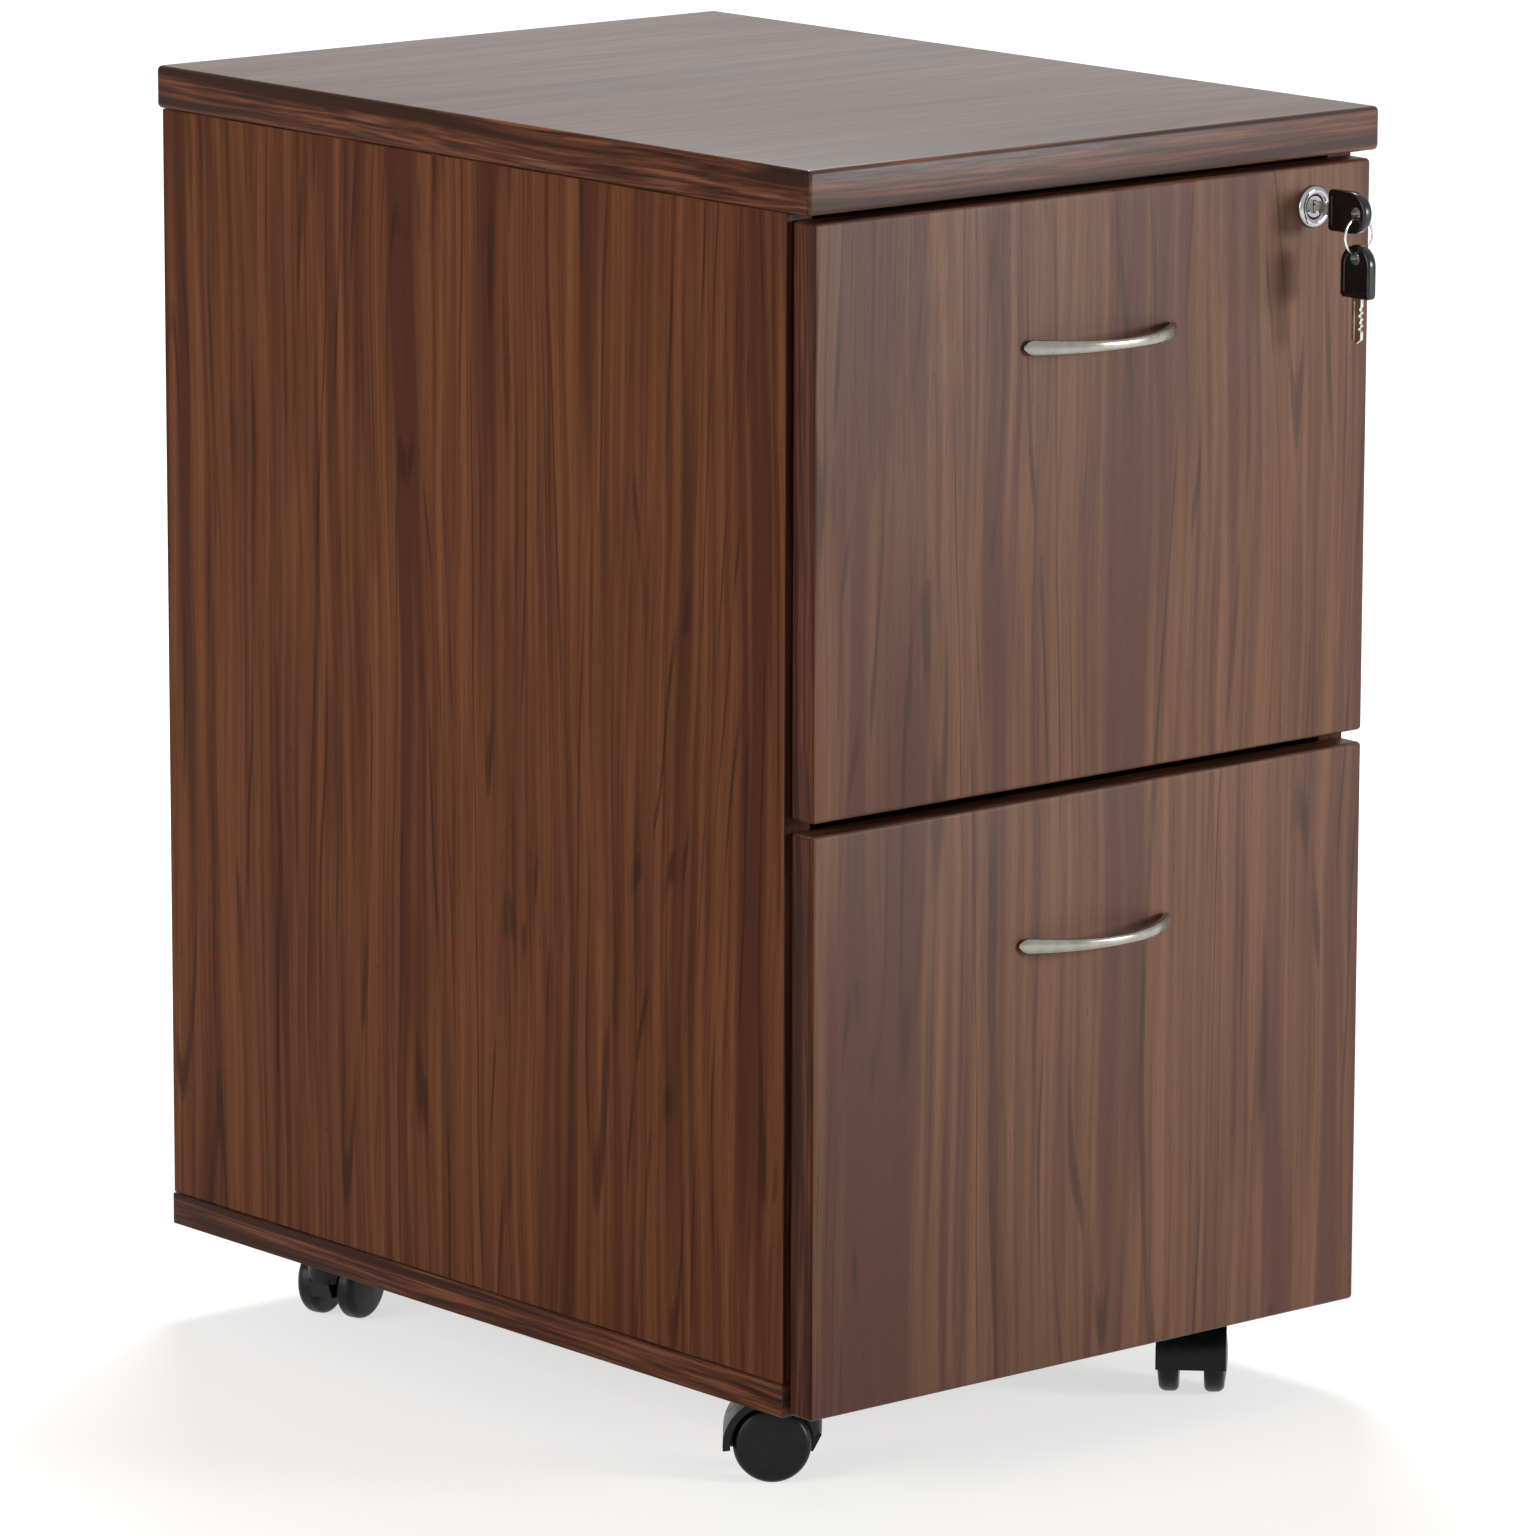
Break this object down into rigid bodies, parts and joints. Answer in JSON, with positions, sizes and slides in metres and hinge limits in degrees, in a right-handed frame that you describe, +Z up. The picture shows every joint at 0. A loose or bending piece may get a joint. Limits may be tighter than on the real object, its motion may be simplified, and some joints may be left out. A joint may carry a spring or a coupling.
{
  "type": "mobile filing cabinet",
  "caption": "Low wood-laminate filing cabinet on hooded twin-wheel castors, with stacked full-extension file drawers, bow handles and a key lock.",
  "frame": {"origin": "on the floor under the middle of the bounding box, which includes the handles and the keys in the lock", "axes": "+Z up, -Y out of the drawer fronts, +X to the right of someone facing the drawers"},
  "size_m": [0.4064, 0.6048, 0.7178],
  "materials": {
    "walnut_laminate": "satin printed wood-grain laminate",
    "walnut_front_laminate": "satin printed wood-grain laminate, a lighter sheet",
    "drawer_box_laminate": "plain satin laminate",
    "zinc_plated_steel": "bright zinc plate",
    "brushed_nickel": "satin nickel plate",
    "polished_chrome": "polished chrome plate",
    "black_nylon": "moulded, semi-gloss"
  },
  "bodies": {
    "cabinet": {"top_panel": "walnut_laminate", "bottom_panel": "walnut_laminate", "left_side_panel": "walnut_laminate", "right_side_panel": "walnut_laminate", "back_panel": "walnut_laminate", "upper_left_cabinet_rail": "zinc_plated_steel", "upper_right_cabinet_rail": "zinc_plated_steel", "lower_left_cabinet_rail": "zinc_plated_steel", "lower_right_cabinet_rail": "zinc_plated_steel", "front_left_castor_plate": "zinc_plated_steel", "front_right_castor_plate": "zinc_plated_steel", "rear_left_castor_plate": "zinc_plated_steel", "rear_right_castor_plate": "zinc_plated_steel"},
    "upper_drawer": {"upper_drawer_front": "walnut_front_laminate", "upper_drawer_left_side": "drawer_box_laminate", "upper_drawer_right_side": "drawer_box_laminate", "upper_drawer_back": "drawer_box_laminate", "upper_drawer_bottom": "drawer_box_laminate", "upper_handle": "brushed_nickel", "upper_left_hanging_rail": "zinc_plated_steel", "upper_right_hanging_rail": "zinc_plated_steel", "upper_left_drawer_rail": "zinc_plated_steel", "upper_right_drawer_rail": "zinc_plated_steel", "upper_lock_catch": "zinc_plated_steel", "lock_housing": "polished_chrome"},
    "lower_drawer": {"lower_drawer_front": "walnut_front_laminate", "lower_drawer_left_side": "drawer_box_laminate", "lower_drawer_right_side": "drawer_box_laminate", "lower_drawer_back": "drawer_box_laminate", "lower_drawer_bottom": "drawer_box_laminate", "lower_handle": "brushed_nickel", "lower_left_hanging_rail": "zinc_plated_steel", "lower_right_hanging_rail": "zinc_plated_steel", "lower_left_drawer_rail": "zinc_plated_steel", "lower_right_drawer_rail": "zinc_plated_steel", "lower_lock_catch": "zinc_plated_steel"},
    "upper_left_middle_rail": {"upper_left_middle_rail": "zinc_plated_steel"},
    "upper_right_middle_rail": {"upper_right_middle_rail": "zinc_plated_steel"},
    "lower_left_middle_rail": {"lower_left_middle_rail": "zinc_plated_steel"},
    "lower_right_middle_rail": {"lower_right_middle_rail": "zinc_plated_steel"},
    "lock_plug": {"lock_plug": "polished_chrome", "lock_cam": "zinc_plated_steel"},
    "lock_bar": {"lock_bar": "zinc_plated_steel"},
    "key": {"key_blade": "brushed_nickel", "key_head": "black_nylon"},
    "key_ring": {"key_ring": "brushed_nickel"},
    "spare_key": {"spare_key_blade": "brushed_nickel", "spare_key_head": "black_nylon"},
    "front_left_castor": {"front_left_castor_hood": "black_nylon"},
    "front_left_left_wheel": {"front_left_castor_left_wheel": "black_nylon"},
    "front_left_right_wheel": {"front_left_castor_right_wheel": "black_nylon"},
    "front_right_castor": {"front_right_castor_hood": "black_nylon"},
    "front_right_left_wheel": {"front_right_castor_left_wheel": "black_nylon"},
    "front_right_right_wheel": {"front_right_castor_right_wheel": "black_nylon"},
    "rear_left_castor": {"rear_left_castor_hood": "black_nylon"},
    "rear_left_left_wheel": {"rear_left_castor_left_wheel": "black_nylon"},
    "rear_left_right_wheel": {"rear_left_castor_right_wheel": "black_nylon"},
    "rear_right_castor": {"rear_right_castor_hood": "black_nylon"},
    "rear_right_left_wheel": {"rear_right_castor_left_wheel": "black_nylon"},
    "rear_right_right_wheel": {"rear_right_castor_right_wheel": "black_nylon"}
  },
  "joints": [
    {"name": "upper_drawer_slide", "type": "slide", "parent": "cabinet", "child": "upper_drawer", "axis": [0, -1, 0], "range_m": [0, 0.42]},
    {"name": "lower_drawer_slide", "type": "slide", "parent": "cabinet", "child": "lower_drawer", "axis": [0, -1, 0], "range_m": [0, 0.42]},
    {"name": "upper_left_middle_rail_slide", "type": "slide", "parent": "cabinet", "child": "upper_left_middle_rail", "axis": [0, -1, 0], "range_m": [0, 0.21]},
    {"name": "upper_right_middle_rail_slide", "type": "slide", "parent": "cabinet", "child": "upper_right_middle_rail", "axis": [0, -1, 0], "range_m": [0, 0.21]},
    {"name": "lower_left_middle_rail_slide", "type": "slide", "parent": "cabinet", "child": "lower_left_middle_rail", "axis": [0, -1, 0], "range_m": [0, 0.21]},
    {"name": "lower_right_middle_rail_slide", "type": "slide", "parent": "cabinet", "child": "lower_right_middle_rail", "axis": [0, -1, 0], "range_m": [0, 0.21]},
    {"name": "lock_turn", "type": "hinge", "parent": "upper_drawer", "child": "lock_plug", "pos_m": [0.1547, -0.25562, 0.6675], "axis": [0, -1, 0], "range_deg": [0, 90]},
    {"name": "lock_bar_lift", "type": "slide", "parent": "cabinet", "child": "lock_bar", "axis": [0, 0, 1], "range_m": [0, 0.009]},
    {"name": "key_pull", "type": "slide", "parent": "lock_plug", "child": "key", "axis": [0, -1, 0], "range_m": [0, 0.034]},
    {"name": "key_ring_swing", "type": "hinge", "parent": "key", "child": "key_ring", "pos_m": [0.1547, -0.29113, 0.6654], "axis": [1, 0, 0], "range_deg": [-40, 14]},
    {"name": "spare_key_swing", "type": "hinge", "parent": "key_ring", "child": "spare_key", "pos_m": [0.1547, -0.29113, 0.6454], "axis": [1, 0, 0], "range_deg": [-25, 14]},
    {"name": "front_left_castor_swivel", "type": "hinge", "parent": "cabinet", "child": "front_left_castor", "pos_m": [-0.144, -0.18402, 0.03], "axis": [0, 0, 1], "continuous": true},
    {"name": "front_left_left_wheel_roll", "type": "hinge", "parent": "front_left_castor", "child": "front_left_left_wheel", "pos_m": [-0.15541, -0.17428, 0.021], "axis": [-0.6494, -0.7604, 0], "continuous": true},
    {"name": "front_left_right_wheel_roll", "type": "hinge", "parent": "front_left_castor", "child": "front_left_right_wheel", "pos_m": [-0.15541, -0.17428, 0.021], "axis": [-0.6494, -0.7604, 0], "continuous": true},
    {"name": "front_right_castor_swivel", "type": "hinge", "parent": "cabinet", "child": "front_right_castor", "pos_m": [0.144, -0.18402, 0.03], "axis": [0, 0, 1], "continuous": true},
    {"name": "front_right_left_wheel_roll", "type": "hinge", "parent": "front_right_castor", "child": "front_right_left_wheel", "pos_m": [0.13339, -0.19463, 0.021], "axis": [0.7071, -0.7071, 0], "continuous": true},
    {"name": "front_right_right_wheel_roll", "type": "hinge", "parent": "front_right_castor", "child": "front_right_right_wheel", "pos_m": [0.13339, -0.19463, 0.021], "axis": [0.7071, -0.7071, 0], "continuous": true},
    {"name": "rear_left_castor_swivel", "type": "hinge", "parent": "cabinet", "child": "rear_left_castor", "pos_m": [-0.144, 0.22998, 0.03], "axis": [0, 0, 1], "continuous": true},
    {"name": "rear_left_left_wheel_roll", "type": "hinge", "parent": "rear_left_castor", "child": "rear_left_left_wheel", "pos_m": [-0.13004, 0.23547, 0.021], "axis": [-0.3665, 0.9304, 0], "continuous": true},
    {"name": "rear_left_right_wheel_roll", "type": "hinge", "parent": "rear_left_castor", "child": "rear_left_right_wheel", "pos_m": [-0.13004, 0.23547, 0.021], "axis": [-0.3665, 0.9304, 0], "continuous": true},
    {"name": "rear_right_castor_swivel", "type": "hinge", "parent": "cabinet", "child": "rear_right_castor", "pos_m": [0.144, 0.22998, 0.03], "axis": [0, 0, 1], "continuous": true},
    {"name": "rear_right_left_wheel_roll", "type": "hinge", "parent": "rear_right_castor", "child": "rear_right_left_wheel", "pos_m": [0.1515, 0.24296, 0.021], "axis": [-0.866, 0.5, 0], "continuous": true},
    {"name": "rear_right_right_wheel_roll", "type": "hinge", "parent": "rear_right_castor", "child": "rear_right_right_wheel", "pos_m": [0.1515, 0.24296, 0.021], "axis": [-0.866, 0.5, 0], "continuous": true}
  ],
  "couplings": [
    {"joint": "upper_left_middle_rail_slide", "follows": "upper_drawer_slide", "ratio": 0.5},
    {"joint": "upper_right_middle_rail_slide", "follows": "upper_drawer_slide", "ratio": 0.5},
    {"joint": "lower_left_middle_rail_slide", "follows": "lower_drawer_slide", "ratio": 0.5},
    {"joint": "lower_right_middle_rail_slide", "follows": "lower_drawer_slide", "ratio": 0.5},
    {"joint": "lock_bar_lift", "follows": "lock_turn", "m_per_rad": 0.0057295}
  ]
}
